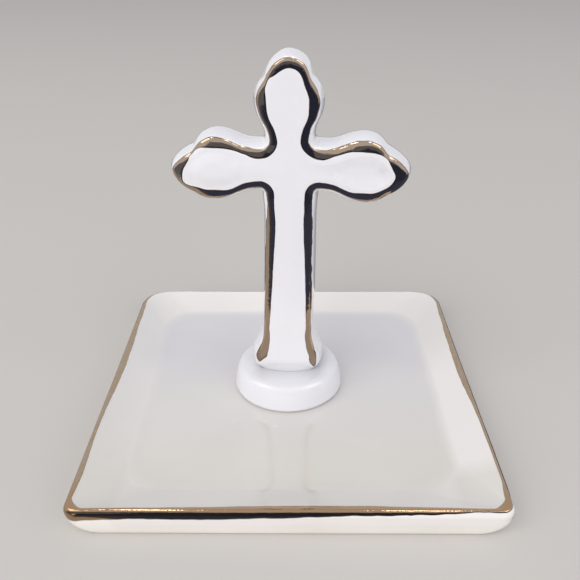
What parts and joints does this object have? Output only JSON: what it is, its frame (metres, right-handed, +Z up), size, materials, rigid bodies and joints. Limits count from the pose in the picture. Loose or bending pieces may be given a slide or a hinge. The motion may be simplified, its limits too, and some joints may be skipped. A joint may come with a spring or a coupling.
{
  "type": "ring dish",
  "caption": "Square glazed ceramic ring dish with a coved inside and gold rim; a gold-edged cross on a round pedestal holds rings upright in the middle.",
  "frame": {"origin": "middle of the tray's underside, on the surface that it rests on", "axes": "+X to the right seen from the cross's gold-edged front, +Y to the back, +Z up"},
  "size_m": [0.1034, 0.1034, 0.0975],
  "materials": {
    "white_glaze": "glossy warm white glaze with slight pooling",
    "gold_lustre": "fired gold lustre, mirror bright, brushed on by hand",
    "bond": "cured clear-grey adhesive"
  },
  "bodies": {
    "root": {"dish": "white_glaze", "dish_gold_rim": "gold_lustre", "pedestal_bond": "bond", "pedestal": "white_glaze", "cross_bond": "bond", "cross": "white_glaze", "cross_gold_outline": "gold_lustre"}
  },
  "joints": []
}
